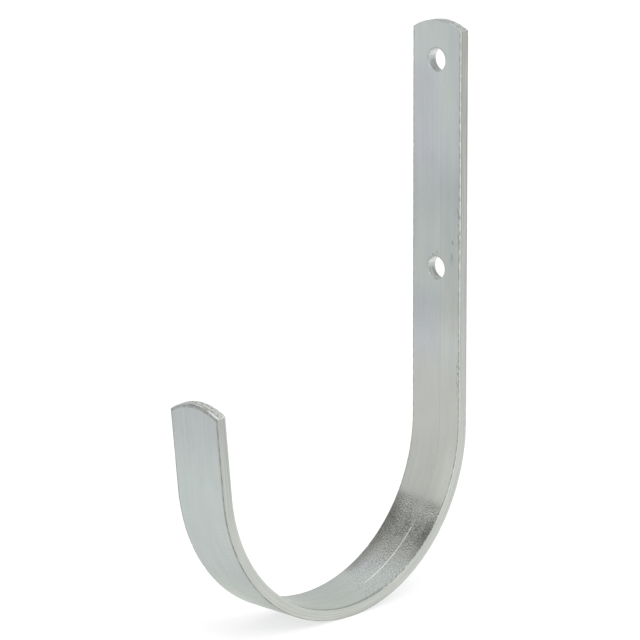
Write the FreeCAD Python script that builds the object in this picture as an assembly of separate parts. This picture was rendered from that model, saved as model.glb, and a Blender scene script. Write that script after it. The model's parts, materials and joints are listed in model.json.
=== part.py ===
import FreeCAD
import Part

import math
import os

from FreeCAD import Placement, Rotation, Vector

# Garage utility hook: one strip of zinc-plated steel, cropped to a crowned shape at both ends,
# punched with two screw holes and bent into a J.
#
# The wall is the plane Y = 0 and the hook stands out from it towards -Y. X runs across the strip
# and Z is up. The origin is on the wall, midway between the two screw holes. The strip's outer
# face is the one on the wall, and its inner face is the one that carries the load.

# Strip, in millimetres
STRIP_WIDTH = 20.0
STRIP_THICKNESS = 3.5
EDGE_RADIUS = 0.2  # rolled corners along both sides of the strip

# Bend
BEND_INNER_RADIUS = 49.0
LEG_LENGTH = 126.0  # straight leg, from the start of the bend to the top of its crown
TIP_LENGTH = 28.2  # straight tip, from the end of the bend to the top of its crown
TIP_LEAN_DEG = 5.5  # how far the tip opens away from the wall

# Cropped ends, sharp but for one rim
END_CROWN_RADIUS = 19.5
END_ROLLOVER = 0.9  # round on the tip's outer rim, where the cropping tool entered

# Screw holes
HOLE_DIAMETER = 7.2
HOLE_PITCH = 65.5
HOLE_TO_TOP = 12.4  # upper hole's centre to the top of the leg's crown
HOLE_ROLLOVER = 0.15  # round on the front rim, where the punch entered

# Two lengths closer than this are the same
SAME = 1e-6

# Places and radii worked out from the sizes
SIDE_X = STRIP_WIDTH / 2
WALL_Y = 0.0
LEG_FRONT_Y = WALL_Y - STRIP_THICKNESS
UPPER_HOLE_Z = HOLE_PITCH / 2
LOWER_HOLE_Z = -HOLE_PITCH / 2
LEG_TOP_Z = UPPER_HOLE_Z + HOLE_TO_TOP
BEND_OUTER_RADIUS = BEND_INNER_RADIUS + STRIP_THICKNESS
BEND_CENTRE_Y = WALL_Y - BEND_OUTER_RADIUS
BEND_CENTRE_Z = LEG_TOP_Z - LEG_LENGTH
TIP_LEAN = math.radians(TIP_LEAN_DEG)
BEND_SWEEP = math.pi - TIP_LEAN

# How far the strip runs past each crown before it is cropped, and each tool past the strip
SPARE = STRIP_THICKNESS


def bend_point(radius, sweep):
    """A point of the bend on the strip's side, at an angle in radians down from the leg."""
    y = BEND_CENTRE_Y + radius * math.cos(sweep)
    z = BEND_CENTRE_Z - radius * math.sin(sweep)
    return Vector(-SIDE_X, y, z)


def bend_arc(radius):
    """The bend on the strip's side at this radius, from the leg to the tip."""
    points = [bend_point(radius, share * BEND_SWEEP) for share in (0, 0.5, 1)]
    return Part.Arc(*points).toShape()


def tip_point(radius, length):
    """A point of the tip on the strip's side, this far past the bend, on the face of this bend radius."""
    along = Vector(0, -math.sin(TIP_LEAN), math.cos(TIP_LEAN))
    return bend_point(radius, BEND_SWEEP) + along * length


def bent_strip():
    """The strip before cropping, with sharp edges: its J outline, drawn out over its width."""
    leg_outer = Vector(-SIDE_X, WALL_Y, LEG_TOP_Z + SPARE)
    leg_inner = Vector(-SIDE_X, LEG_FRONT_Y, LEG_TOP_Z + SPARE)
    tip_outer = tip_point(BEND_OUTER_RADIUS, TIP_LENGTH + SPARE)
    tip_inner = tip_point(BEND_INNER_RADIUS, TIP_LENGTH + SPARE)
    outline = [
        Part.makeLine(leg_outer, bend_point(BEND_OUTER_RADIUS, 0)),
        bend_arc(BEND_OUTER_RADIUS),
        Part.makeLine(bend_point(BEND_OUTER_RADIUS, BEND_SWEEP), tip_outer),
        Part.makeLine(tip_outer, tip_inner),
        Part.makeLine(tip_inner, bend_point(BEND_INNER_RADIUS, BEND_SWEEP)),
        bend_arc(BEND_INNER_RADIUS).reversed(),
        Part.makeLine(bend_point(BEND_INNER_RADIUS, 0), leg_inner),
        Part.makeLine(leg_inner, leg_outer),
    ]
    return Part.Face(Part.Wire(outline)).extrude(Vector(STRIP_WIDTH, 0, 0))


def end_places():
    """Where the leg's end and the tip's end are: the top of the crown, in mid-thickness, with Z along
    the strip and Y through it. The leg's inner face and the tip's outer face are towards -Y."""
    leg = Placement(Vector(0, (WALL_Y + LEG_FRONT_Y) / 2, LEG_TOP_Z), Rotation())
    middle = tip_point((BEND_INNER_RADIUS + BEND_OUTER_RADIUS) / 2, TIP_LENGTH)
    tip = Placement(Vector(0, middle.y, middle.z), Rotation(Vector(1, 0, 0), TIP_LEAN_DEG))
    return leg, tip


def end_waste(place):
    """What the cropping tool takes off one end: all that lies above the crown."""
    half_width = SIDE_X + SPARE
    half_depth = STRIP_THICKNESS / 2 + SPARE
    height = END_CROWN_RADIUS + 2 * SPARE
    block = Part.makeBox(2 * half_width, 2 * half_depth, height)
    block.translate(Vector(-half_width, -half_depth, -END_CROWN_RADIUS))
    crown_start = Vector(0, half_depth, -END_CROWN_RADIUS)
    crown = Part.makeCylinder(END_CROWN_RADIUS, 2 * half_depth, crown_start, Vector(0, -1, 0))
    waste = block.cut(crown)
    waste.Placement = place
    return waste


def screw_hole(height):
    """The punch that makes a screw hole at this height."""
    start = Vector(0, LEG_FRONT_Y - SPARE, height)
    return Part.makeCylinder(HOLE_DIAMETER / 2, STRIP_THICKNESS + 2 * SPARE, start, Vector(0, 1, 0))


def is_circle(edge, radius, centres):
    """Whether an edge is a circle, or part of one, of this radius round one of the centres."""
    if not isinstance(edge.Curve, Part.Circle) or abs(edge.Curve.Radius - radius) > SAME:
        return False
    return any(edge.Curve.Center.isEqual(centre, SAME) for centre in centres)


def front_crown_centre(place):
    """The centre of the crown's rim on the face towards -Y."""
    return place.multVec(Vector(0, -STRIP_THICKNESS / 2, -END_CROWN_RADIUS))


def on_side(edge):
    """Whether an edge lies on one of the strip's two side faces."""
    box = edge.BoundBox
    return box.XLength < SAME and abs(abs(box.XMin) - SIDE_X) < SAME


def rounded(shape, radius, wanted):
    """The shape with a round of this radius on each edge that wanted() picks."""
    return shape.makeFillet(radius, [edge for edge in shape.Edges if wanted(edge)])


def hook():
    """The finished strip: bent, cropped, rounded along its rims and sides, and punched."""
    leg, tip = end_places()
    strip = bent_strip().cut(end_waste(leg)).cut(end_waste(tip))
    rolled = [front_crown_centre(tip)]
    strip = rounded(strip, END_ROLLOVER, lambda edge: is_circle(edge, END_CROWN_RADIUS, rolled))
    strip = rounded(strip, EDGE_RADIUS, on_side)
    heights = (UPPER_HOLE_Z, LOWER_HOLE_Z)
    for height in heights:
        strip = strip.cut(screw_hole(height))
    rims = [Vector(0, LEG_FRONT_Y, height) for height in heights]
    return rounded(strip, HOLE_ROLLOVER, lambda edge: is_circle(edge, HOLE_DIAMETER / 2, rims))


def main():
    os.makedirs("parts", exist_ok=True)
    (solid,) = hook().Solids
    print("valid", solid.isValid(), "volume in mm3", round(solid.Volume, 1))
    solid.exportStep("parts/hook.step")


main()
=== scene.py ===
import functools
import json
import math
from collections import namedtuple

import bmesh
import bpy
import numpy as np
from mathutils import Matrix, Vector, noise


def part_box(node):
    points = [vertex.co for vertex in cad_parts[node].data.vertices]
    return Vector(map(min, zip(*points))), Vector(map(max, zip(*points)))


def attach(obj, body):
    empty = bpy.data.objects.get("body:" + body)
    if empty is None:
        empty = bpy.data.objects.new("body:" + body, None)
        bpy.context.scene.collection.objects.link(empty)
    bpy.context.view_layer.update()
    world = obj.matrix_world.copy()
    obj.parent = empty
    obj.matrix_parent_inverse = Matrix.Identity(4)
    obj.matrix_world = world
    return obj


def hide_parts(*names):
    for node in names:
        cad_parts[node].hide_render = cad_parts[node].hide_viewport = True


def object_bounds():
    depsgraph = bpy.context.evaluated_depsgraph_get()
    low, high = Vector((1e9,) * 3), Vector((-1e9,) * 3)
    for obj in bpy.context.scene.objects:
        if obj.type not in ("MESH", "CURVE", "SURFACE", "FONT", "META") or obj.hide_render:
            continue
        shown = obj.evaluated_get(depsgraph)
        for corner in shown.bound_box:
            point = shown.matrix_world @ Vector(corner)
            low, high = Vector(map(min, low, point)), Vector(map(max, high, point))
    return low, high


# Garage utility hook: one bright zinc-plated steel strip, bent into a J. Its surface is laid out
# on the flat strip, as (across, along, through), worn and marked there, and then bent.
# Along is 0 where the bend meets the leg and grows up the leg. Through is 0 on the strip's outer
# face, which lies on the wall, and grows towards its inner face.

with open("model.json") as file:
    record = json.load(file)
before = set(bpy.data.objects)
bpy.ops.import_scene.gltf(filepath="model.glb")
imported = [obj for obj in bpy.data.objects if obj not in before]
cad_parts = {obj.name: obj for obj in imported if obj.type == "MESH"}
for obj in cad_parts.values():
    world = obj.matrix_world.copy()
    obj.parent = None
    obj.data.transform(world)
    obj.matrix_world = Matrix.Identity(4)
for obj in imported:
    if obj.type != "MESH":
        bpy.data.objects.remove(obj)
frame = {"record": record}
cad_low, cad_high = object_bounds()

MM = 0.001

# The solid's sizes
screws = next(m for m in frame["record"]["mounts"] if m["name"] == "screw_holes")["dims"]
HALF_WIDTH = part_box("hook")[1].x
LEG_TOP_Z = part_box("hook")[1].z
WALL_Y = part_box("hook")[1].y
THICKNESS = 3.5 * MM
EDGE_RADIUS = 0.2 * MM
BEND_INNER_RADIUS = 49.0 * MM
LEG_LENGTH = 126.0 * MM
TIP_LENGTH = 28.2 * MM
TIP_LEAN = math.radians(5.5)
CROWN_RADIUS = 19.5 * MM
CROWN_RIM_EASE = 0.15 * MM
TIP_ROLLOVER = 0.9 * MM
HOLE_RADIUS = screws["hole_r_mm"] * MM
HOLE_PITCH = screws["spacing_y_mm"] * MM
HOLE_TO_TOP = 12.4 * MM
HOLE_ROLLOVER = 0.15 * MM
HOLE_EXIT_EASE = 0.03 * MM

# Places on the flat strip
BEND_OUTER_RADIUS = BEND_INNER_RADIUS + THICKNESS
BEND_MIDDLE_RADIUS = BEND_INNER_RADIUS + THICKNESS / 2
BEND_CENTRE_Y = WALL_Y - BEND_OUTER_RADIUS
BEND_CENTRE_Z = LEG_TOP_Z - LEG_LENGTH
BEND_SWEEP = math.pi - TIP_LEAN
BEND_END = -BEND_MIDDLE_RADIUS * BEND_SWEEP
TIP_END = BEND_END - TIP_LENGTH
UPPER_HOLE = LEG_LENGTH - HOLE_TO_TOP
LOWER_HOLE = UPPER_HOLE - HOLE_PITCH
FLAT_HALF = HALF_WIDTH - EDGE_RADIUS  # half the width between the rounds of the sides

# How far each face's crowns lie inside their true place before their round, at the leg and the tip
INNER_INSETS = (CROWN_RIM_EASE, CROWN_RIM_EASE)
OUTER_INSETS = (CROWN_RIM_EASE, TIP_ROLLOVER)
WALL_INSETS = (EDGE_RADIUS, EDGE_RADIUS)

# Marks of its making: a line drawn along the inner face by the bending die, a lip that slitting
# left along the inner face's sides, uneven edges, and torn metal where the ends and holes were cut
DIE_LINE = 1.8 * MM
DIE_LINE_WIDTH = 0.16 * MM
DIE_LINE_HEIGHT = 0.035 * MM
DIE_LINE_ON_LEG = 0.3  # its height on the leg, as a share of that in the bend
DIE_LINE_FADE = 20 * MM
DIE_LINE_HOLE_GAP = (HOLE_RADIUS, 2 * HOLE_RADIUS)  # from a hole's wall to where it ends and is whole
INNER_MARKS = (THICKNESS - EDGE_RADIUS / 2, THICKNESS - EDGE_RADIUS / 4)  # how deep the line and lip go
LIP_WIDTH = 0.16 * MM
LIP_HEIGHT = 0.06 * MM
WAVE_DEPTH = 0.012 * MM
WAVE_SIZE = np.array((6, 22, 6)) * MM
EDGE_WEAR_DEPTH = 0.04 * MM
EDGE_WEAR_REACH = 0.45 * MM
EDGE_WEAR_SIZE = np.array((1.2, 2.6, 1.2)) * MM
NICK_DEPTH = 0.11 * MM
NICK_SIZE = np.array((0.9, 1.5, 0.9)) * MM
NICK_START, NICK_FULL = 0.67, 0.8  # of a noise from 0 to 1
TEAR_DEPTH = 0.05 * MM
TEAR_SIZE = np.array((0.55, 0.55, 0.55)) * MM
TEAR_SHARE = 0.55  # of the thickness: the holes are torn up to here from the outer face, the ends beyond
CUT_REACH = 0.1 * MM  # how near a cut's wall a point has to lie to be torn

# Mesh: a square patch surrounds each hole, and the rows beyond the outer patch follow the crown
PATCH_HALF = 6.4 * MM
LEG_BLOCK = UPPER_HOLE + PATCH_HALF
TIP_BLOCK = TIP_END + LEG_LENGTH - LEG_BLOCK
ROW_STEP = 0.85 * MM
COLUMN_COUNT = 68
COLUMN_GAP = 0.008
LINE_COLUMNS = np.array((-2, -1, -0.5, 0, 0.5, 1, 2))  # extra columns at the die line, in its widths
LIP_COLUMNS = np.array((0.5, 1, 1.5, 2.5))  # extra columns by the sides, in widths of the lip
PATCH_RINGS = 14
RING_CROWDING = 1.5
FAN_STEPS = 5
ROUND_STEPS = 7
WALL_STEPS = 10
WELD = 0.001 * MM

# Zinc plate. A size is that of a noise's blotches, across, along and through the strip. A ramp is
# where it starts and ends, then what it is there if not 0 and 1. A band is where it starts and ends,
# then how far it takes to fade. A skew is how far along a border shifts for each step across
NOISE_RANGE = (0.3, 0.7)  # what nearly all of a noise lies between
ON_INNER_FACE = (THICKNESS - 1.4 * EDGE_RADIUS, THICKNESS - 0.8 * EDGE_RADIUS)
ON_OUTER_FACE = (1.4 * EDGE_RADIUS, 0.8 * EDGE_RADIUS)
ON_SIDES = (HALF_WIDTH - EDGE_RADIUS / 2, HALF_WIDTH)
ON_TIP = (BEND_END, BEND_END - 20 * MM)
ON_DIE_LINE = (1.6 * DIE_LINE_WIDTH, 0.8 * DIE_LINE_WIDTH)
ON_CUT = (1.4 * CUT_REACH, 0.3 * CUT_REACH)

# Its tints
TINT_SIZE = np.array((15, 38, 15)) * MM
TINTS = (
    (0.36, (0.462, 0.479, 0.495)),
    (0.46, (0.462, 0.503, 0.497)),
    (0.56, (0.481, 0.520, 0.505)),
    (0.66, (0.500, 0.520, 0.500)),
)
BEND_TINT = (0.462, 0.471, 0.438, 1)  # on the inner face of the bend
BEND_TINT_BAND = (-45 * MM, 12 * MM, 15 * MM)
BEND_TINT_SHARE = 0.85
LOW_TINT = (0.487, 0.530, 0.498, 1)  # at the bottom of the bend
LOW_TINT_BAND = (-118 * MM, -64 * MM, 10 * MM)
LOW_TINT_SHARE = 0.7
OUTER_TINT = (0.482, 0.531, 0.516, 1)
OUTER_TINT_SHARE = 0.65
TIP_TINT = (0.482, 0.504, 0.516, 1)  # at the end of the tip
TIP_TINT_SHARE = (BEND_END - 6 * MM, BEND_END - 20 * MM, 0, 0.8)
SIDE_TINT = (0.516, 0.537, 0.500, 1)
HOLE_TINT = (0.500, 0.530, 0.520, 1)  # on the holes' walls
END_TINT = (0.680, 0.715, 0.680, 1)  # on the crowned ends
END_TINT_SHARE = (TIP_END, LEG_LENGTH, 1, 0.4)
LEG_TINT = (0.440, 0.455, 0.480, 1)  # in two stretches of the leg
LEG_TINT_BANDS = ((20 * MM, 36 * MM, 8 * MM), (84 * MM, 108 * MM, 8 * MM))
LEG_TINT_SIDE = (4 * MM, -2 * MM, 0, 0.7)
GRAZING_TINT = (0.84, 0.84, 0.82, 1)  # of what it reflects at a low angle

# How light it is. A loss is how much darker a stretch is, and a gain how much lighter
STREAK_SIZE = np.array((0.9, 50, 0.5)) * MM
STREAK_TONE = 0.022
PATCH_SIZE = np.array((4, 9, 4)) * MM
PATCH_TONE = 0.025
TIP_LOSS = (BEND_END, TIP_END, 0, 0.1)

# On its sides, with a groove near the inner face, and painted shade up the leg and towards the tip
SIDE_LINE_SIZE = np.array((1, 30, 0.35)) * MM
SIDE_LINE_TONE = 0.09
# Painted shade: the sides made darker up the leg and towards the tip's end
SIDE_PAINTED_SHADE = (-45 * MM, LEG_LENGTH, 0, 0.24)
SIDE_TIP_PAINTED_SHADE = (-110 * MM, -175 * MM, 0, 0.11)
GROOVE_BAND = (THICKNESS - 0.85 * MM, THICKNESS - 0.55 * MM, 0.15 * MM)
GROOVE_LOSS = (0, 30 * MM, 0, 0.14)
BACK_LOSS = (0.9 * MM, 0.3 * MM, 0, 0.22)
BACK_LOSS_UP_LEG = (10 * MM, 60 * MM)

# On its inner face, and last on its outer face
LEG_LOSS = 0.12
LEG_LOSS_BAND = (38 * MM, 72 * MM, 16 * MM)
RIGHT_LOSS = (1 * MM, 6 * MM, 0, 0.05)
RIGHT_LOSS_UP_LEG = (15 * MM, 30 * MM)
# Painted shade: the inner face's edges made darker at the upper border of the bend's dark band
EDGE_PAINTED_SHADE = (5 * MM, 9 * MM, 0, 0.22)
EDGE_PAINTED_SHADE_BAND = (-38 * MM, -32.5 * MM, 4 * MM)
EDGE_PAINTED_SHADE_SKEW = 0.44
LOW_LOSS = (2 * MM, 8 * MM, 0.08, 0.03)
LOW_LOSS_BAND = (-110 * MM, -78 * MM, 20 * MM)
# Painted shade: a stretch across the bend made darker
BEND_PAINTED_SHADE = 0.08
BEND_PAINTED_SHADE_BAND = (-40 * MM, -34.5 * MM, 3 * MM)
# Painted light: the inner face's right made lighter high in the bend
RIGHT_PAINTED_LIGHT = (2 * MM, 8 * MM, 0, 0.13)
RIGHT_PAINTED_LIGHT_BAND = (-31 * MM, -14 * MM, 9 * MM)
# Painted light: the outer face made lighter low in the bend
OUTER_PAINTED_LIGHT = (-2 * MM, 6 * MM, 0.02, 0.09)
OUTER_PAINTED_LIGHT_BAND = (-120 * MM, -100 * MM, 8 * MM)

# How rough it is: satin, rougher on the cuts, and gritty where bending has strained the inner face
SATIN = (0.22, 0.30)
CUT_ROUGHER = 0.15
CUT_STIPPLE = 0.3  # the depth of the cuts' stipple, as a share of the bend's grit
SPECK_SIZE = np.array((0.7, 0.8, 0.5)) * MM
PEEL_SIZE = np.array((0.5, 0.5, 0.5)) * MM
PEEL_DETAIL = 1.0
PEEL_STRENGTH = (0, 1, 0.02, 1)  # from where the metal isn't strained to where it is
STRAIN_TOP = (-25 * MM, -32 * MM)
STRAIN_TOP_SKEW = 0.1
STRAIN_LOW = (-71 * MM, -63 * MM)
STRAIN_LOW_SKEW = 0.6
GRIT_TONE = 0.24  # how far the grit lightens and darkens the plate
BUMP_DEPTH = 0.14 * MM

# Where it is brighter. Painted highlights: the inner face's corners, the die's line in the bend, the upper
# part of the holes' walls and the land of the tip's rolled rim. Rubbed bright: what the punch burnished and
# the points of the tip's rolled rim
# A light colour for burnish and for painted highlights
BURNISH_AND_HIGHLIGHT = (0.93, 0.94, 0.92, 1)
RAGGED_SIZE = np.array((0.8, 2.4, 0.8)) * MM
RAGGED_DETAIL = 4.0
BEAD_SIZE = np.array((0.7, 1.9, 0.7)) * MM  # of the nicks in the leg's corners
CORNER_SIDE = (FLAT_HALF - EDGE_RADIUS, FLAT_HALF)
# Painted highlight along the inner face's corners
CORNER_HIGHLIGHT_BAND = (0, 0.35 * MM, 0.1 * MM)  # round the corner from the inner face, where it is below 0
CORNER_HIGHLIGHT_UP_LEG = (0, 50 * MM, 0.25, 1)
CORNER_HIGHLIGHT_BEADS = (0.36, 0.64, 0.3, 0.6)
# Painted highlight on the die's line in the bend
LINE_HIGHLIGHT_BAND = (-60 * MM, -40 * MM, 7 * MM)
LINE_HIGHLIGHT_SHARE = 0.9
PUNCHED = (THICKNESS - 1.0 * MM, THICKNESS - 0.6 * MM)
PUNCH_RUBBED = (0.4, 0.55, 0, 0.15)
# Painted highlight on the upper part of the holes' walls
WALL_HIGH_HIGHLIGHT = (0.4 * MM, 1.8 * MM, 0, 0.5)
# Painted highlight on the land of the tip's rolled rim
LAND_GAP = (0.3 * TIP_ROLLOVER, 0.15 * TIP_ROLLOVER)
LAND_BAND = (0.25 * TIP_ROLLOVER, 0.75 * TIP_ROLLOVER, 0.15 * TIP_ROLLOVER)
LAND_SIDE = (0, 3 * MM, 0.08, 1)
LAND_HIGHLIGHT_GAPS = (0.38, 0.52, 0.3, 0.9)
POINT_GAP = (2 * EDGE_RADIUS, EDGE_RADIUS)
POINT_RUBBED = (0.4, 0.55, 0.05, 0.4)

# Where it is darker. Thin or dirty plate: a burr on the inner face's right corner, creases along the outer
# face's corners, torn metal on the ends, the dents outside the holes, smudges and spots. Painted shade:
# beside the inner face's corners, by the rims of the ends, low in the holes' walls, on the bend's edges and
# on the rest of the die's line
# A dark colour for thin or dirty plate and for painted shade
DIRT_AND_SHADE = (0.245, 0.25, 0.225, 1)
BROKEN = (0.66, 0.4, 0.35, 1)
# Painted shade beside the inner face's corners
SHOULDER_SHADE_BAND = (9.6 * MM, 9.85 * MM, 0.15 * MM)
SHOULDER_SHADE_SHARE = 0.8
SHOULDER_SHADE_BEADS = (0.58, 0.42, 0.3, 1)
BURR_SIDE = (8.5 * MM, 9.2 * MM, 0, 0.7)
BURR_BANDS = ((10 * MM, 19 * MM, 3 * MM), (57 * MM, 70 * MM, 4 * MM))
BURR_BEADS = (0.5, 0.4)
CREASE_SIDE = (FLAT_HALF - 2 * EDGE_RADIUS, FLAT_HALF - EDGE_RADIUS / 2)
CREASE_BROKEN = (0.62, 0.42, 0.55, 0.95)
# Painted shade by the inner rim of the leg's end
RIM_SHADE_BAND = (THICKNESS - 0.9 * MM, THICKNESS - 0.1 * MM, 0.2 * MM)
RIM_SHADE_ACROSS = (-2.5 * MM, 3.5 * MM, 1.5 * MM)
RIM_SHADE_UP_LEG = (0, LEG_LENGTH - CROWN_RADIUS, 0, 0.8)
# Painted shade under the tip's rolled rim
UNDER_ROLL_SHADE_BAND = (0.45 * MM, 0.95 * MM, 0.2 * MM)
UNDER_ROLL_SHADE_SIDE = (-2 * MM, 4 * MM, 0.75, 1)
UNDER_ROLL_SHADE_SHARE = 0.9
# Painted shadow behind the land of the tip's rolled rim
LAND_SHADOW_BAND = (1.05 * TIP_ROLLOVER, 1.45 * TIP_ROLLOVER, 0.15 * TIP_ROLLOVER)
LAND_SHADOW_SHARE = 0.75
TORN = (0.5, 0.58, 0, 0.75)
RING_SIZE = np.array((4, 4, 0.45)) * MM
RINGS = (0.42, 0.56, 0.25, 0.8)
WALL_DEEP = (THICKNESS - 0.4 * MM, THICKNESS - 0.8 * MM)
# Painted shade low in the holes' walls
WALL_LOW_SHADE_BAND = (-2.8 * MM, -0.8 * MM, 1.2 * MM)
DENT_BAND = (0.15 * MM, 0.4 * MM, 0.15 * MM)
DENT_HEIGHT = (-1 * MM, 1 * MM, 0, 0.4)
# Painted shade on the inner face's edges in the bend
LEFT_EDGE_SHADE = (-4 * MM, -FLAT_HALF, 0, 0.78)
LEFT_EDGE_SHADE_BAND = (-57 * MM, -33 * MM, 7 * MM)
RIGHT_EDGE_SHADE = (6 * MM, FLAT_HALF, 0, 0.4)
RIGHT_EDGE_SHADE_BAND = (-46 * MM, -36 * MM, 5 * MM)
LOW_EDGE_SHADE = (8.5 * MM, 9.4 * MM, 0, 0.6)
LOW_EDGE_SHADE_BAND = (-100 * MM, -66 * MM, 6 * MM)
# Painted shade on the die's line above its painted highlight
FAINT_LINE_SHADE_BAND = (-30 * MM, 85 * MM, 12 * MM)
FAINT_LINE_SHADE_SHARE = 0.15
SMUDGE_SIZE = np.array((1.2, 2.6, 1.2)) * MM
SMUDGED = (0.68, 0.78, 0, 0.3)
SPOT_FADE = (1, 0, 0, 0.85)  # from a spot's rim, at 1, to its middle
SPOTS = np.array((
    (0.5, 53.1, 0.5, 1.0),
    (-1.3, 52.2, 0.5, 0.6),
    (6.6, 51.7, 0.6, 2.6),
    (7.0, 57.0, 0.5, 1.0),
)) * MM  # each as its place across and along, and its half width and half length

# The photograph's viewpoint
CAMERA_AZIMUTH = math.radians(45.168)
CAMERA_ELEVATION = math.radians(12.883)
CAMERA_ROLL = math.radians(-0.267)
CAMERA_DISTANCE = 1006.32 * MM
CAMERA_TARGET = Vector((4.649, -59.324, -39.536)) * MM
CAMERA_LENS = 188.39
CAMERA_SENSOR = 36.0
CAMERA_CLIP_END = 100.0

# Studio
FLOOR_HALF = 12.0
FLOOR_PAINT = (0.4, 0.4, 0.4, 1)
FLOOR_GLOW = 0.65
ROOM_COLOUR = (1, 1, 1, 1)
ROOM_LIGHT = 1.0
DIM_SIDES = np.radians(((-62.5, 39), (-60, 60)))  # each as its azimuth and elevation
DIM_LEVEL = 0.15
DIM_EDGE, DIM_CORE = 0.962, 0.994  # cosines of the angles from the middle of a dim side
KEY_AZIMUTH = math.radians(75)
KEY_ELEVATION = math.radians(50)
KEY_DISTANCE = 1.5
KEY_SIZE = 0.9
KEY_POWER = 6.0


def spaced(start, end):
    """Places from start to end, both included, about a row apart."""
    return np.linspace(start, end, max(2, round(abs(end - start) / ROW_STEP) + 1))


LOWER_PATCH = spaced(LOWER_HOLE - PATCH_HALF, LOWER_HOLE + PATCH_HALF)
UPPER_PATCH = spaced(UPPER_HOLE - PATCH_HALF, UPPER_HOLE + PATCH_HALF)
PLAIN_ROWS = [
    np.concatenate((
        spaced(TIP_BLOCK, BEND_END)[:-1],
        spaced(BEND_END, 0)[:-1],
        spaced(0, LOWER_PATCH[0]),
    )),
    spaced(LOWER_PATCH[-1], UPPER_PATCH[0]),
]
MIDDLE_ROWS = np.concatenate((PLAIN_ROWS[0][:-1], LOWER_PATCH[:-1], PLAIN_ROWS[1][:-1], UPPER_PATCH))
END_ROWS = len(spaced(LEG_BLOCK, LEG_LENGTH)) - 1


def column_shares():
    """Places across the strip, as shares of FLAT_HALF, closer together by the die line and the sides."""
    beside_line = DIE_LINE + DIE_LINE_WIDTH * LINE_COLUMNS
    beside_side = FLAT_HALF - LIP_WIDTH * LIP_COLUMNS
    fine = np.concatenate((beside_line, beside_side, -beside_side)) / FLAT_HALF
    plain = np.linspace(-1, 1, COLUMN_COUNT + 1)
    gap = np.abs(plain[:, None] - fine[None, :]).min(axis=1)
    return np.sort(np.concatenate((plain[(gap > COLUMN_GAP) | (np.abs(plain) == 1)], fine)))


COLUMNS = column_shares()


def plan(across, along):
    """Points of the strip's plan, from one or two lists."""
    return np.stack(np.broadcast_arrays(across, along), axis=-1)


def crown(inset, grow, centre, way):
    """A crowned end's rim from left to right. way is 1 at the leg's end and -1 at the tip's."""
    radius = CROWN_RADIUS - inset
    angle = COLUMNS * math.asin(FLAT_HALF / radius)
    return plan((radius + grow) * np.sin(angle), centre + way * (radius + grow) * np.cos(angle))


def ends(insets, grow):
    """The crowned rims of the leg and of the tip."""
    leg = crown(insets[0], grow, LEG_LENGTH - CROWN_RADIUS, 1)
    tip = crown(insets[1], grow, TIP_END + CROWN_RADIUS, -1)
    return leg, tip


def side(low, high):
    """Places along a side, from its corner at the tip to its corner at the leg's end."""
    to_block = np.linspace(low, TIP_BLOCK, END_ROWS, endpoint=False)
    from_block = np.linspace(LEG_BLOCK, high, END_ROWS + 1)[1:]
    return np.concatenate((to_block, MIDDLE_ROWS, from_block))


def fan(corner, grow, start, turn):
    """The points that go round one corner, without the two where its neighbours end."""
    angle = start + turn * np.linspace(0, 1, FAN_STEPS + 1)[1:-1]
    return corner + grow * plan(np.cos(angle), np.sin(angle))


def corner_turn(inset):
    """The angle by which a crown's corner turns."""
    return math.pi / 2 - math.asin(FLAT_HALF / (CROWN_RADIUS - inset))


def outline(insets, grow):
    """The strip's plan, anticlockwise from the right side's corner at the tip. The crowns lie inset
    from their true place, the sides at the start of their rounds, and all is then grown outwards."""
    bare_leg, bare_tip = ends(insets, 0)
    leg, tip = ends(insets, grow)
    along = side(bare_tip[-1, 1], bare_leg[-1, 1])
    leg_turn, tip_turn = map(corner_turn, insets)
    return np.concatenate((
        plan(FLAT_HALF + grow, along),
        fan(bare_leg[-1], grow, 0, leg_turn),
        leg[::-1],
        fan(bare_leg[0], grow, math.pi - leg_turn, leg_turn),
        plan(-FLAT_HALF - grow, along[::-1]),
        fan(bare_tip[0], grow, math.pi, tip_turn),
        tip,
        fan(bare_tip[-1], grow, -tip_turn, tip_turn),
    ))


def rounds(insets):
    """The size of one face's round at each point of the outline."""
    along = np.full(2 * END_ROWS + len(MIDDLE_ROWS), EDGE_RADIUS)
    sizes = []
    for inset in insets:
        rising = np.linspace(EDGE_RADIUS, inset, FAN_STEPS + 1)[1:-1]
        sizes += [along, rising, np.full(len(COLUMNS), inset), rising[::-1]]
    return np.concatenate(sizes)


def lifted(points, through):
    """Plan points at a depth through the strip, as flat points."""
    through = np.broadcast_to(through, points.shape[:-1])
    return np.concatenate((points, through[..., None]), axis=-1)


def closed(grid):
    """A grid whose last line is its first again."""
    return np.concatenate((grid, grid[:1]))


def between(start, end, shares):
    """Grid from one line of points to another, with a row at each share of the way."""
    return start + (end - start) * shares[:, None, None]


def rim_band():
    """The strip's sides and crowned ends, with the rounds on both faces: one line across the
    thickness at each point of the outline."""
    wall = outline(WALL_INSETS, EDGE_RADIUS)
    inner, inner_round = outline(INNER_INSETS, 0), rounds(INNER_INSETS)
    outer, outer_round = outline(OUTER_INSETS, 0), rounds(OUTER_INSETS)
    lines = []
    for angle in np.linspace(0, math.pi / 2, ROUND_STEPS + 1):
        depth = THICKNESS - inner_round * (1 - math.cos(angle))
        lines.append(lifted(inner + (wall - inner) * math.sin(angle), depth))
    for down in np.linspace(0, 1, WALL_STEPS + 1)[1:-1]:
        depth = (THICKNESS - inner_round) * (1 - down) + outer_round * down
        lines.append(lifted(wall, depth))
    for angle in np.linspace(math.pi / 2, 0, ROUND_STEPS + 1):
        depth = outer_round * (1 - math.cos(angle))
        lines.append(lifted(outer + (wall - outer) * math.sin(angle), depth))
    return closed(np.stack(lines, axis=1))


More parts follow.
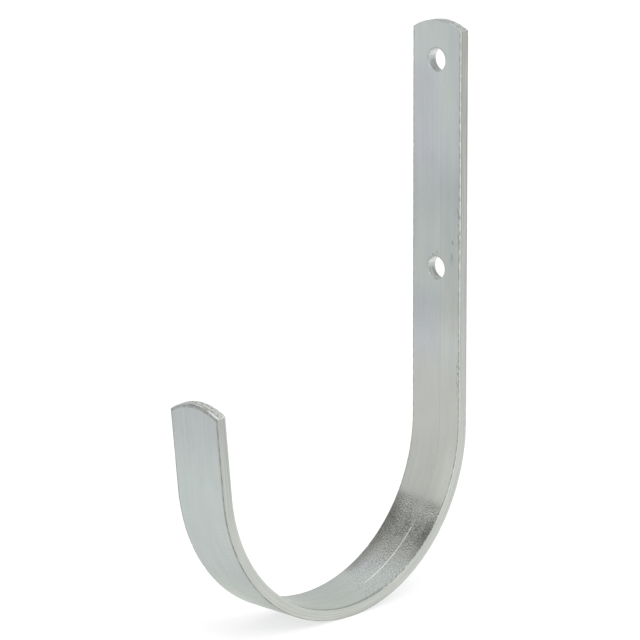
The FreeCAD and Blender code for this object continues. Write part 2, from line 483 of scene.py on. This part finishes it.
def patch_rim(rows):
    """The edge of a hole's patch, anticlockwise from its lower right corner."""
    across = FLAT_HALF * COLUMNS
    return np.concatenate((
        plan(FLAT_HALF, rows[:-1]),
        plan(across[:0:-1], rows[-1]),
        plan(-FLAT_HALF, rows[:0:-1]),
        plan(across[:-1], rows[0]),
    ))


def around_hole(rows):
    """A hole's centre, and the way from it to each point of its patch's edge."""
    centre = np.array((0, (rows[0] + rows[-1]) / 2))
    out = patch_rim(rows) - centre
    return centre, out / np.linalg.norm(out, axis=1, keepdims=True)


def face(insets, through, hole_rim):
    """Grids of one broad face: its two ends, its plain stretches and the patch round each hole."""
    leg, tip = ends(insets, 0)
    across = FLAT_HALF * COLUMNS
    steps = np.linspace(0, 1, END_ROWS + 1)
    grids = [between(tip, plan(across, TIP_BLOCK), steps), between(plan(across, LEG_BLOCK), leg, steps)]
    for rows in PLAIN_ROWS:
        grids.append(plan(across[None, :], rows[:, None]))
    for rows in (LOWER_PATCH, UPPER_PATCH):
        centre, out = around_hole(rows)
        shares = np.linspace(0, 1, PATCH_RINGS + 1) ** RING_CROWDING
        rings = between(centre + hole_rim * out, patch_rim(rows), shares)
        grids.append(closed(rings.swapaxes(0, 1)))
    return [lifted(grid, through) for grid in grids]


def hole_wall(rows):
    """A screw hole from its rounded front rim to its back."""
    centre, out = around_hole(rows)
    section = []
    for angle in np.linspace(0, math.pi / 2, ROUND_STEPS + 1):
        wider = HOLE_ROLLOVER * (1 - math.sin(angle))
        section.append((wider, THICKNESS - HOLE_ROLLOVER * (1 - math.cos(angle))))
    for depth in np.linspace(THICKNESS - HOLE_ROLLOVER, HOLE_EXIT_EASE, WALL_STEPS + 1)[1:]:
        section.append((0, depth))
    section.append((HOLE_EXIT_EASE, 0))
    lines = [lifted(centre + (HOLE_RADIUS + wider) * out, depth) for wider, depth in section]
    return closed(np.stack(lines, axis=1))


def flat_strip():
    """The whole strip's surface before bending, as one closed mesh."""
    grids = [rim_band(), hole_wall(LOWER_PATCH), hole_wall(UPPER_PATCH)]
    grids += face(INNER_INSETS, THICKNESS, HOLE_RADIUS + HOLE_ROLLOVER)
    grids += face(OUTER_INSETS, 0, HOLE_RADIUS + HOLE_EXIT_EASE)
    points, faces, count = [], [], 0
    for grid in grids:
        rows, columns = grid.shape[:2]
        index = count + np.arange(rows * columns).reshape(rows, columns)
        corners = (index[:-1, :-1], index[:-1, 1:], index[1:, 1:], index[1:, :-1])
        faces.append(np.stack(corners, axis=-1).reshape(-1, 4))
        points.append(grid.reshape(-1, 3))
        count += rows * columns
    mesh = bpy.data.meshes.new("hook_strip")
    mesh.from_pydata(np.concatenate(points).tolist(), [], np.concatenate(faces).tolist())
    surface = bmesh.new()
    surface.from_mesh(mesh)
    bmesh.ops.remove_doubles(surface, verts=surface.verts, dist=WELD)
    bmesh.ops.recalc_face_normals(surface, faces=surface.faces)
    surface.to_mesh(mesh)
    surface.free()
    mesh.shade_smooth()
    return mesh


def bent(flat):
    """Where points of the flat strip lie on the bent hook."""
    across, along, through = flat.T
    sweep = np.clip(-along / BEND_MIDDLE_RADIUS, 0, BEND_SWEEP)
    radius = BEND_OUTER_RADIUS - through
    straight = along + sweep * BEND_MIDDLE_RADIUS
    y = BEND_CENTRE_Y + radius * np.cos(sweep) + straight * np.sin(sweep)
    z = BEND_CENTRE_Z - radius * np.sin(sweep) + straight * np.cos(sweep)
    return np.column_stack((across, y, z))


def eased(value, start, end):
    """0 where the value is at start, 1 where it is at end, and smooth between."""
    share = np.clip((value - start) / (end - start), 0, 1)
    return share * share * (3 - 2 * share)


def ripple(flat, size):
    """Smooth noise from about 0 to 1 on the flat strip, with bumps of this size."""
    return (1 + np.array([noise.noise(place) for place in flat / size])) / 2


def below_crown(flat):
    """How far points lie inside the nearer crown's rim."""
    across, along, _ = flat.T
    past_leg_centre = along - (LEG_LENGTH - CROWN_RADIUS)
    past_tip_centre = TIP_END + CROWN_RADIUS - along
    past_centre = np.maximum(past_leg_centre, past_tip_centre)
    return CROWN_RADIUS - np.hypot(across, np.maximum(past_centre, 0))


def above_hole(flat):
    """How far up the strip points lie from the centre of the nearer hole."""
    along = flat[:, 1]
    return along - np.where(along > (UPPER_HOLE + LOWER_HOLE) / 2, UPPER_HOLE, LOWER_HOLE)


def beside_hole(flat):
    """How far points lie from the wall of the nearer hole."""
    return np.hypot(flat[:, 0], above_hole(flat)) - HOLE_RADIUS


def drawn(flat):
    """How much of the die's line each point has: most in the bend, and none near the holes."""
    across, along, _ = flat.T
    line = np.exp(-(((across - DIE_LINE) / DIE_LINE_WIDTH) ** 2))
    in_bend = eased(along, DIE_LINE_FADE, -DIE_LINE_FADE) * eased(along, BEND_END, BEND_END + DIE_LINE_FADE)
    line *= DIE_LINE_ON_LEG + (1 - DIE_LINE_ON_LEG) * in_bend
    line *= eased(beside_hole(flat), *DIE_LINE_HOLE_GAP)
    return line * eased(along, UPPER_HOLE, UPPER_HOLE - DIE_LINE_FADE)


def torn(flat):
    """How torn each point of the cuts is: the ends towards the inner face, the holes towards the outer."""
    border = THICKNESS * TEAR_SHARE
    below = eased(flat[:, 2], border, border - EDGE_RADIUS)
    end = eased(below_crown(flat), CUT_REACH, 0) * (1 - below)
    hole = eased(beside_hole(flat), CUT_REACH, 0) * below
    return np.clip(end + hole, 0, 1) * ripple(flat, TEAR_SIZE)


def worn(flat, outward):
    """The flat strip with its marks, each as a small move along the surface's outward direction. Its
    sides stay within its width."""
    across, _, through = flat.T
    from_side = HALF_WIDTH - np.abs(across)
    uneven = ripple(flat, EDGE_WEAR_SIZE)
    lip = np.exp(-(((from_side - EDGE_RADIUS) / LIP_WIDTH) ** 2)) * uneven
    edge = np.exp(-(from_side**2 + np.minimum(through, THICKNESS - through) ** 2) / EDGE_WEAR_REACH**2)
    nick = eased(ripple(flat, NICK_SIZE), NICK_START, NICK_FULL)
    move = (DIE_LINE_HEIGHT * drawn(flat) + LIP_HEIGHT * lip) * eased(through, *INNER_MARKS)
    move -= WAVE_DEPTH * ripple(flat, WAVE_SIZE)
    move -= edge * (EDGE_WEAR_DEPTH * uneven + NICK_DEPTH * nick)
    move -= TEAR_DEPTH * torn(flat)
    moved = flat + outward * move[:, None]
    moved[:, 0] = np.clip(moved[:, 0], -HALF_WIDTH, HALF_WIDTH)
    return moved


def vectors(items, name):
    """The three numbers that each item of a mesh holds under a name."""
    found = np.empty(len(items) * 3)
    items.foreach_get(name, found)
    return found.reshape(-1, 3)


def make_hook():
    """The bent hook. Each point keeps its place on the flat strip, and how far it lies from the rims
    of the crowns and of the holes."""
    mesh = flat_strip()
    flat = vectors(mesh.vertices, "co")
    outward = vectors(mesh.vertex_normals, "vector")
    mesh.vertices.foreach_set("co", bent(worn(flat, outward)).ravel())
    rims = np.column_stack((below_crown(flat), beside_hole(flat), above_hole(flat)))
    for name, values in (("strip", flat), ("rims", rims)):
        kept = mesh.attributes.new(name, "FLOAT_VECTOR", "POINT")
        kept.data.foreach_set("vector", values.ravel())
    mesh.update()
    made = bpy.data.objects.new("zinc_hook", mesh)
    bpy.context.scene.collection.objects.link(made)
    return made


# The mixing node's sockets, by number because several share a name
MIX_SHARE, MIX_FIRST, MIX_SECOND = 0, 6, 7
MIX_RESULT = 2


class Nodes:
    """A node tree, with short ways to add the nodes used here."""

    def __init__(self, tree):
        self.tree = tree

    def feed(self, socket, value):
        """Gives a socket a value, or links it to the output that feeds it."""
        if isinstance(value, bpy.types.NodeSocket):
            self.tree.links.new(value, socket)
        else:
            socket.default_value = value

    def add(self, kind, inputs=(), **settings):
        """A new node. inputs maps a socket's name or number to what feeds it."""
        made = self.tree.nodes.new("ShaderNode" + kind)
        for name, value in settings.items():
            setattr(made, name, value)
        for name, value in dict(inputs).items():
            self.feed(made.inputs[name], value)
        return made

    def maths(self, operation, first, second=0.0):
        """The result of a sum on one or two values."""
        return self.add("Math", {0: first, 1: second}, operation=operation).outputs[0]

    def total(self, *values):
        """All the values added."""
        return functools.reduce(lambda first, second: self.maths("ADD", first, second), values)

    def product(self, *values):
        """All the values multiplied."""
        return functools.reduce(lambda first, second: self.maths("MULTIPLY", first, second), values)

    def largest(self, *values):
        """The largest of the values."""
        return functools.reduce(lambda first, second: self.maths("MAXIMUM", first, second), values)

    def ramp(self, value, start, end, low=0.0, high=1.0):
        """Low where the value is at start, high where it is at end, and smooth between."""
        inputs = {"Value": value, "From Min": start, "From Max": end, "To Min": low, "To Max": high}
        return self.add("MapRange", inputs, interpolation_type="SMOOTHSTEP").outputs["Result"]

    def band(self, value, low, high, fade):
        """1 from low to high, falling to 0 over a distance on either side."""
        return self.product(self.ramp(value, low - fade, low), self.ramp(value, high + fade, high))

    def grain(self, place, size, detail=2.0):
        """Noise from 0 to 1 with blotches of this size."""
        scaled = self.add("VectorMath", {0: place, 1: 1 / size}, operation="MULTIPLY").outputs[0]
        return self.add("TexNoise", {"Vector": scaled, "Scale": 1.0, "Detail": detail}).outputs["Fac"]

    def swing(self, noise_value, low, high):
        """A noise brought between two values."""
        return self.ramp(noise_value, *NOISE_RANGE, low, high)

    def blend(self, share, first, second):
        """Two colours mixed by a share."""
        inputs = {MIX_SHARE: share, MIX_FIRST: first, MIX_SECOND: second}
        return self.add("Mix", inputs, data_type="RGBA").outputs[MIX_RESULT]

    def colours(self, value, stops):
        """A colour picked by a value from a list of places and colours, lowest first."""
        picked = self.add("ValToRGB", {"Fac": value})
        elements = picked.color_ramp.elements
        for place, _ in stops[2:]:
            elements.new(place)
        for element, (place, colour) in zip(elements, stops):
            element.position = place
            element.color = (*colour, 1)
        return picked.outputs["Color"]


STRIP_FIELDS = (
    "place across along through from_middle crown_gap hole_gap hole_height"
    " ragged bead speck peel end_cut hole_cut cut inner outer sides tip"
)
Strip = namedtuple("Strip", STRIP_FIELDS)


def read_strip(nodes):
    """What the surface knows of its place on the strip, the noises that its marks share, and where it
    is cut, an inner or outer face, a side or the tip."""
    place = nodes.add("Attribute", attribute_name="strip").outputs["Vector"]
    rims = nodes.add("Attribute", attribute_name="rims").outputs["Vector"]
    across, along, through = nodes.add("SeparateXYZ", {0: place}).outputs
    crown_gap, hole_gap, hole_height = nodes.add("SeparateXYZ", {0: rims}).outputs
    from_middle = nodes.maths("ABSOLUTE", across)
    end_cut = nodes.ramp(crown_gap, *ON_CUT)
    hole_cut = nodes.ramp(hole_gap, *ON_CUT)
    places = (place, across, along, through, from_middle, crown_gap, hole_gap, hole_height)
    noises = (
        nodes.grain(place, RAGGED_SIZE, RAGGED_DETAIL),
        nodes.grain(place, BEAD_SIZE),
        nodes.grain(place, SPECK_SIZE),
        nodes.grain(place, PEEL_SIZE, PEEL_DETAIL),
    )
    parts = (
        end_cut,
        hole_cut,
        nodes.largest(end_cut, hole_cut),
        nodes.ramp(through, *ON_INNER_FACE),
        nodes.ramp(through, *ON_OUTER_FACE),
        nodes.ramp(from_middle, *ON_SIDES),
        nodes.ramp(along, *ON_TIP),
    )
    return Strip(*places, *noises, *parts)


def on_die_line(nodes, strip):
    """Where the inner face has the die's line."""
    gap = nodes.maths("ABSOLUTE", nodes.maths("SUBTRACT", strip.across, DIE_LINE))
    return nodes.product(nodes.ramp(gap, *ON_DIE_LINE), strip.inner)


def askew(nodes, strip, skew):
    """The place along the strip, shifted by a share of the place across it."""
    return nodes.total(strip.along, nodes.product(strip.across, skew))


def in_stretches(nodes, strip, bands):
    """Where the strip is in any of several stretches."""
    return nodes.largest(*(nodes.band(strip.along, *band) for band in bands))


def beside(nodes, strip, side, band):
    """A ramp across the strip, kept to one stretch of it."""
    return nodes.product(nodes.ramp(strip.across, *side), nodes.band(strip.along, *band))


def strained(nodes, strip):
    """Where bending has roughened the inner face."""
    below_top = nodes.ramp(askew(nodes, strip, STRAIN_TOP_SKEW), *STRAIN_TOP)
    above_low = nodes.ramp(askew(nodes, strip, STRAIN_LOW_SKEW), *STRAIN_LOW)
    return nodes.product(below_top, above_low, strip.inner)


def plate_tint(nodes, strip):
    """Soft tints that run along the strip, with others over them: on the outer face, the sides and the
    cuts, and in stretches of the leg, the bend and the tip."""
    left = nodes.ramp(strip.across, *LEG_TINT_SIDE)
    layers = (
        (nodes.product(strip.outer, OUTER_TINT_SHARE), OUTER_TINT),
        (nodes.ramp(strip.along, *TIP_TINT_SHARE), TIP_TINT),
        (nodes.product(in_stretches(nodes, strip, LEG_TINT_BANDS), left, strip.inner), LEG_TINT),
        (nodes.product(nodes.band(strip.along, *BEND_TINT_BAND), strip.inner, BEND_TINT_SHARE), BEND_TINT),
        (nodes.product(nodes.band(strip.along, *LOW_TINT_BAND), LOW_TINT_SHARE), LOW_TINT),
        (strip.sides, SIDE_TINT),
        (strip.hole_cut, HOLE_TINT),
        (nodes.product(strip.end_cut, nodes.ramp(strip.along, *END_TINT_SHARE)), END_TINT),
    )
    tint = nodes.colours(nodes.grain(strip.place, TINT_SIZE), TINTS)
    for share, colour in layers:
        tint = nodes.blend(share, tint, colour)
    return tint


def side_tone(nodes, strip):
    """How much lighter or darker the sides are: lined along the strip, darker in some stretches, and with
    painted shade up the leg and towards the tip.
    """
    line = nodes.swing(nodes.grain(strip.place, SIDE_LINE_SIZE), -SIDE_LINE_TONE, SIDE_LINE_TONE)
    loss = nodes.total(
        # the first two are painted shade
        nodes.ramp(strip.along, *SIDE_PAINTED_SHADE),
        nodes.ramp(strip.along, *SIDE_TIP_PAINTED_SHADE),
        nodes.product(nodes.band(strip.through, *GROOVE_BAND), nodes.ramp(strip.along, *GROOVE_LOSS)),
        nodes.product(nodes.ramp(strip.through, *BACK_LOSS), nodes.ramp(strip.along, *BACK_LOSS_UP_LEG)),
    )
    return nodes.product(nodes.maths("SUBTRACT", line, loss), strip.sides)


def inner_tone(nodes, strip):
    """How much lighter or darker the inner face is in some stretches: painted light on the right high in
    the bend, painted shade by its edges and across it just below, and darker in stretches of the leg and
    low in the bend.
    """
    # painted light on the right high in the bend; painted shade by the edges and across the bend below it
    right_painted_light = beside(nodes, strip, RIGHT_PAINTED_LIGHT, RIGHT_PAINTED_LIGHT_BAND)
    painted_edge_shade = nodes.band(askew(nodes, strip, EDGE_PAINTED_SHADE_SKEW), *EDGE_PAINTED_SHADE_BAND)
    loss = nodes.total(
        nodes.product(nodes.band(strip.along, *LEG_LOSS_BAND), LEG_LOSS),
        nodes.product(nodes.ramp(strip.across, *RIGHT_LOSS), nodes.ramp(strip.along, *RIGHT_LOSS_UP_LEG)),
        nodes.product(nodes.ramp(strip.from_middle, *EDGE_PAINTED_SHADE), painted_edge_shade),
        beside(nodes, strip, LOW_LOSS, LOW_LOSS_BAND),
        nodes.product(nodes.band(strip.along, *BEND_PAINTED_SHADE_BAND), BEND_PAINTED_SHADE),
    )
    return nodes.product(nodes.maths("SUBTRACT", right_painted_light, loss), strip.inner)


def plate_tone(nodes, strip):
    """How light the plate is: streaked, patchy, gritty in the bend, lighter or darker in stretches, and
    with painted light on the outer face low in the bend.
    """
    streak = nodes.swing(nodes.grain(strip.place, STREAK_SIZE), 1 - STREAK_TONE, 1 + STREAK_TONE)
    patch = nodes.swing(nodes.grain(strip.place, PATCH_SIZE), 1 - PATCH_TONE, 1 + PATCH_TONE)
    grit = nodes.product(nodes.swing(strip.peel, -GRIT_TONE, GRIT_TONE), strained(nodes, strip))
    # painted light on the outer face low in the bend
    outer = nodes.product(beside(nodes, strip, OUTER_PAINTED_LIGHT, OUTER_PAINTED_LIGHT_BAND), strip.outer)
    level = nodes.total(1.0, grit, side_tone(nodes, strip), inner_tone(nodes, strip), outer)
    level = nodes.maths("SUBTRACT", level, nodes.ramp(strip.along, *TIP_LOSS))
    return nodes.product(streak, patch, level)


def plate_colour(nodes, strip):
    """The plate away from its marks."""
    inputs = {0: plate_tint(nodes, strip), "Scale": plate_tone(nodes, strip)}
    return nodes.add("VectorMath", inputs, operation="SCALE").outputs[0]


def painted_corner_highlight(nodes, strip):
    """A painted highlight along the inner face's corners, broken, and strongest up the leg."""
    apart = nodes.maths("SUBTRACT", strip.from_middle, strip.through)
    round_corner = nodes.total(apart, THICKNESS - HALF_WIDTH)
    return nodes.product(
        nodes.ramp(strip.from_middle, *CORNER_SIDE),
        nodes.band(round_corner, *CORNER_HIGHLIGHT_BAND),
        nodes.ramp(strip.along, *CORNER_HIGHLIGHT_UP_LEG),
        nodes.ramp(strip.bead, *CORNER_HIGHLIGHT_BEADS),
    )


def tip_highlight_and_points(nodes, strip):
    """A painted highlight along the right of the tip's rolled rim, and the points at its corners."""
    # painted highlight on the land
    land = nodes.product(
        nodes.ramp(strip.crown_gap, *LAND_GAP),
        nodes.band(strip.through, *LAND_BAND),
        nodes.ramp(strip.across, *LAND_SIDE),
        nodes.ramp(strip.ragged, *LAND_HIGHLIGHT_GAPS),
    )
    point = nodes.product(
        nodes.ramp(strip.from_middle, *CORNER_SIDE),
        nodes.ramp(strip.crown_gap, *POINT_GAP),
        nodes.ramp(strip.ragged, *POINT_RUBBED),
    )
    return nodes.product(nodes.largest(land, point), strip.tip)


def burnish_and_highlights(nodes, strip):
    """Where the plate is burnished or rubbed bright, and where highlights are painted on it."""
    # painted highlight on the die's line in the bend
    line = nodes.product(on_die_line(nodes, strip), nodes.band(strip.along, *LINE_HIGHLIGHT_BAND), LINE_HIGHLIGHT_SHARE)
    punched = nodes.product(nodes.ramp(strip.through, *PUNCHED), nodes.ramp(strip.ragged, *PUNCH_RUBBED))
    # painted highlight on the upper part of the holes' walls
    high = nodes.ramp(strip.hole_height, *WALL_HIGH_HIGHLIGHT)
    hole = nodes.product(nodes.largest(punched, high), strip.hole_cut)
    return nodes.largest(painted_corner_highlight(nodes, strip), line, hole, tip_highlight_and_points(nodes, strip))


def corner_shade_and_burrs(nodes, strip):
    """Broken dark lines: painted shade beside the inner face's corners, with a burr in stretches of the
    right one, and along the outer face's corners."""
    beads = nodes.ramp(strip.bead, *SHOULDER_SHADE_BEADS)
    # painted shade beside the corners
    shoulder_shade = nodes.product(nodes.band(strip.from_middle, *SHOULDER_SHADE_BAND), beads, SHOULDER_SHADE_SHARE)
    burr = nodes.product(
        nodes.ramp(strip.across, *BURR_SIDE),
        in_stretches(nodes, strip, BURR_BANDS),
        nodes.ramp(strip.bead, *BURR_BEADS),
    )
    crease = nodes.product(
        nodes.ramp(strip.from_middle, *CREASE_SIDE),
        nodes.ramp(strip.ragged, *CREASE_BROKEN),
        strip.outer,
    )
    return nodes.largest(nodes.product(nodes.largest(shoulder_shade, burr), strip.inner), crease)


def end_specks_and_shade(nodes, strip):
    """Specks on the crowned ends, and broken lines of painted shade: by the inner rim of the leg's end, and
    on the tip under its rolled rim and behind that rim's highlighted land."""
    on_leg = nodes.product(strip.end_cut, nodes.ramp(strip.along, *RIM_SHADE_UP_LEG))
    # painted shade by the leg end's inner rim, under the tip's rolled rim and behind its land
    rim_shade = nodes.product(nodes.band(strip.through, *RIM_SHADE_BAND), nodes.band(strip.across, *RIM_SHADE_ACROSS), on_leg)
    under_roll_shade = nodes.product(
        nodes.band(strip.crown_gap, *UNDER_ROLL_SHADE_BAND),
        nodes.ramp(strip.across, *UNDER_ROLL_SHADE_SIDE),
        strip.tip,
        UNDER_ROLL_SHADE_SHARE,
        strip.outer,
    )
    past_land = nodes.band(strip.through, *LAND_SHADOW_BAND)
    land_shadow = nodes.product(past_land, strip.end_cut, strip.tip, LAND_SHADOW_SHARE)
    lines = nodes.product(nodes.largest(rim_shade, under_roll_shade, land_shadow), nodes.ramp(strip.ragged, *BROKEN))
    specks = nodes.product(strip.end_cut, nodes.ramp(strip.speck, *TORN))
    return nodes.largest(lines, specks)


def hole_shade_and_dents(nodes, strip):
    """Painted shade low in the holes, broken into rings, behind what the punch burnished, and the dents
    outside the holes' rims.
    """
    # painted shade low in the holes, broken into the rings of the cut
    wall = nodes.product(
        nodes.ramp(strip.through, *WALL_DEEP),
        nodes.band(strip.hole_height, *WALL_LOW_SHADE_BAND),
        nodes.ramp(nodes.grain(strip.place, RING_SIZE), *RINGS),
        strip.hole_cut,
    )
    dent = nodes.product(
        nodes.band(strip.hole_gap, *DENT_BAND),
        nodes.ramp(strip.hole_height, *DENT_HEIGHT),
        strip.inner,
    )
    return nodes.largest(wall, dent)


def painted_bend_shade(nodes, strip):
    """Painted shade on the inner face's edges in the bend, and on the die's line above them."""
    # painted shade on the bend's edges
    painted_edge_shade = nodes.largest(
        beside(nodes, strip, LEFT_EDGE_SHADE, LEFT_EDGE_SHADE_BAND),
        beside(nodes, strip, RIGHT_EDGE_SHADE, RIGHT_EDGE_SHADE_BAND),
        beside(nodes, strip, LOW_EDGE_SHADE, LOW_EDGE_SHADE_BAND),
    )
    # painted shade on the die's line
    faint_line_shade = nodes.product(nodes.band(strip.along, *FAINT_LINE_SHADE_BAND), FAINT_LINE_SHADE_SHARE)
    line = nodes.product(on_die_line(nodes, strip), faint_line_shade)
    return nodes.largest(nodes.product(painted_edge_shade, strip.inner), line)


def dull_spots(nodes, strip):
    """Smudges here and there, and the spots by the lower hole."""
    marks = []
    for across, along, half_width, half_length in SPOTS:
        aside = nodes.maths("DIVIDE", nodes.maths("SUBTRACT", strip.across, across), half_width)
        ahead = nodes.maths("DIVIDE", nodes.maths("SUBTRACT", strip.along, along), half_length)
        gap = nodes.maths("ADD", nodes.product(aside, aside), nodes.product(ahead, ahead))
        marks.append(nodes.ramp(gap, *SPOT_FADE))
    spot = nodes.product(nodes.largest(*marks), strip.inner, nodes.ramp(strip.ragged, *BROKEN))
    smudge = nodes.ramp(nodes.grain(strip.place, SMUDGE_SIZE, RAGGED_DETAIL), *SMUDGED)
    return nodes.largest(spot, smudge)


def dirt_and_painted_shade(nodes, strip):
    """Where the plate is thin or dirty, and where shade is painted on it."""
    marks = (corner_shade_and_burrs, end_specks_and_shade, hole_shade_and_dents, painted_bend_shade, dull_spots)
    return nodes.largest(*(mark(nodes, strip) for mark in marks))


def satin(nodes, strip):
    """Roughness: satin in patches, rougher where it was cut."""
    patch = nodes.swing(nodes.grain(strip.place, PATCH_SIZE), *SATIN)
    return nodes.maths("ADD", patch, nodes.product(strip.cut, CUT_ROUGHER))


def relief(nodes, strip):
    """A fine peel, strong where bending has roughened the inner face, and a stipple on the cuts."""
    strength = nodes.ramp(strained(nodes, strip), *PEEL_STRENGTH)
    stipple = nodes.product(strip.speck, strip.cut, CUT_STIPPLE)
    height = nodes.maths("ADD", nodes.product(strip.peel, strength), stipple)
    return nodes.add("Bump", {"Height": height, "Strength": 1.0, "Distance": BUMP_DEPTH}).outputs[0]


def zinc_plate():
    """Bright zinc with a clear passivate: satin metal, rubbed bright and dulled along its edges, partly
    with painted highlights and painted shade.
    """
    material = bpy.data.materials.new("zinc_plate")
    material.use_nodes = True
    nodes = Nodes(material.node_tree)
    shader = material.node_tree.nodes["Principled BSDF"].inputs
    strip = read_strip(nodes)
    colour = nodes.blend(burnish_and_highlights(nodes, strip), plate_colour(nodes, strip), BURNISH_AND_HIGHLIGHT)
    colour = nodes.blend(dirt_and_painted_shade(nodes, strip), colour, DIRT_AND_SHADE)
    nodes.feed(shader["Base Color"], colour)
    nodes.feed(shader["Specular Tint"], GRAZING_TINT)
    nodes.feed(shader["Metallic"], 1.0)
    nodes.feed(shader["Roughness"], satin(nodes, strip))
    nodes.feed(shader["Normal"], relief(nodes, strip))
    return material


def direction(azimuth, elevation):
    """The way out from the hook at an azimuth, from its front round to +X, and an elevation."""
    level = math.cos(elevation)
    return Vector((math.sin(azimuth) * level, -math.cos(azimuth) * level, math.sin(elevation)))


def camera():
    """The photograph's viewpoint."""
    back = direction(CAMERA_AZIMUTH, CAMERA_ELEVATION)
    right = Vector((math.cos(CAMERA_AZIMUTH), math.sin(CAMERA_AZIMUTH), 0))
    upright = Matrix((right, back.cross(right), back)).transposed()
    turn = upright @ Matrix.Rotation(CAMERA_ROLL, 3, "Z")
    data = bpy.data.cameras.new("camera")
    data.lens = CAMERA_LENS
    data.sensor_width = CAMERA_SENSOR
    data.clip_end = CAMERA_CLIP_END
    cam = bpy.data.objects.new("camera", data)
    cam.matrix_world = Matrix.Translation(CAMERA_TARGET + back * CAMERA_DISTANCE) @ turn.to_4x4()
    bpy.context.scene.collection.objects.link(cam)
    bpy.context.scene.camera = cam


def floor_paint():
    """Matt white that looks white to the camera and in the metal."""
    material = bpy.data.materials.new("floor")
    material.use_nodes = True
    nodes = Nodes(material.node_tree)
    nodes.tree.nodes.clear()
    path = nodes.add("LightPath").outputs
    seen = nodes.largest(path["Is Camera Ray"], path["Is Glossy Ray"], path["Is Transmission Ray"])
    paint = nodes.add("BsdfDiffuse", {"Color": FLOOR_PAINT}).outputs[0]
    glow = nodes.add("Emission", {"Strength": nodes.product(seen, FLOOR_GLOW)}).outputs[0]
    both = nodes.add("AddShader", {0: paint, 1: glow}).outputs[0]
    nodes.add("OutputMaterial", {"Surface": both})
    return material


def floor():
    """A plain white floor under the hook, wide enough to fill the picture."""
    mesh = bpy.data.meshes.new("floor")
    signs = ((-1, -1), (1, -1), (1, 1), (-1, 1))
    corners = [(x * FLOOR_HALF, y * FLOOR_HALF, cad_low.z) for x, y in signs]
    mesh.from_pydata(corners, [], [(0, 1, 2, 3)])
    mesh.materials.append(floor_paint())
    made = bpy.data.objects.new("floor", mesh)
    bpy.context.scene.collection.objects.link(made)


def key_lamp():
    """A soft lamp up on the right."""
    way = direction(KEY_AZIMUTH, KEY_ELEVATION)
    data = bpy.data.lights.new("key", "AREA")
    data.size = KEY_SIZE
    data.energy = KEY_POWER
    lamp = bpy.data.objects.new("key", data)
    turn = way.to_track_quat("Z", "Y").to_matrix().to_4x4()
    lamp.matrix_world = Matrix.Translation(way * KEY_DISTANCE) @ turn
    bpy.context.scene.collection.objects.link(lamp)


def room():
    """A bright white room with two dim sides, up on the left in front."""
    world = bpy.data.worlds.new("room")
    world.use_nodes = True
    nodes = Nodes(world.node_tree)
    way = nodes.add("TexCoord").outputs["Generated"]
    level = ROOM_LIGHT
    for azimuth, elevation in DIM_SIDES:
        inputs = {0: way, 1: direction(azimuth, elevation)}
        towards = nodes.add("VectorMath", inputs, operation="DOT_PRODUCT").outputs["Value"]
        level = nodes.product(level, nodes.ramp(towards, DIM_EDGE, DIM_CORE, 1, DIM_LEVEL))
    sky = world.node_tree.nodes["Background"].inputs
    nodes.feed(sky["Color"], ROOM_COLOUR)
    nodes.feed(sky["Strength"], level)
    bpy.context.scene.world = world


hook = make_hook()
hook.data.materials.append(zinc_plate())
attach(hook, "root")
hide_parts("hook")
camera()
floor()
key_lamp()
room()
bpy.context.scene.view_settings.view_transform = "Standard"
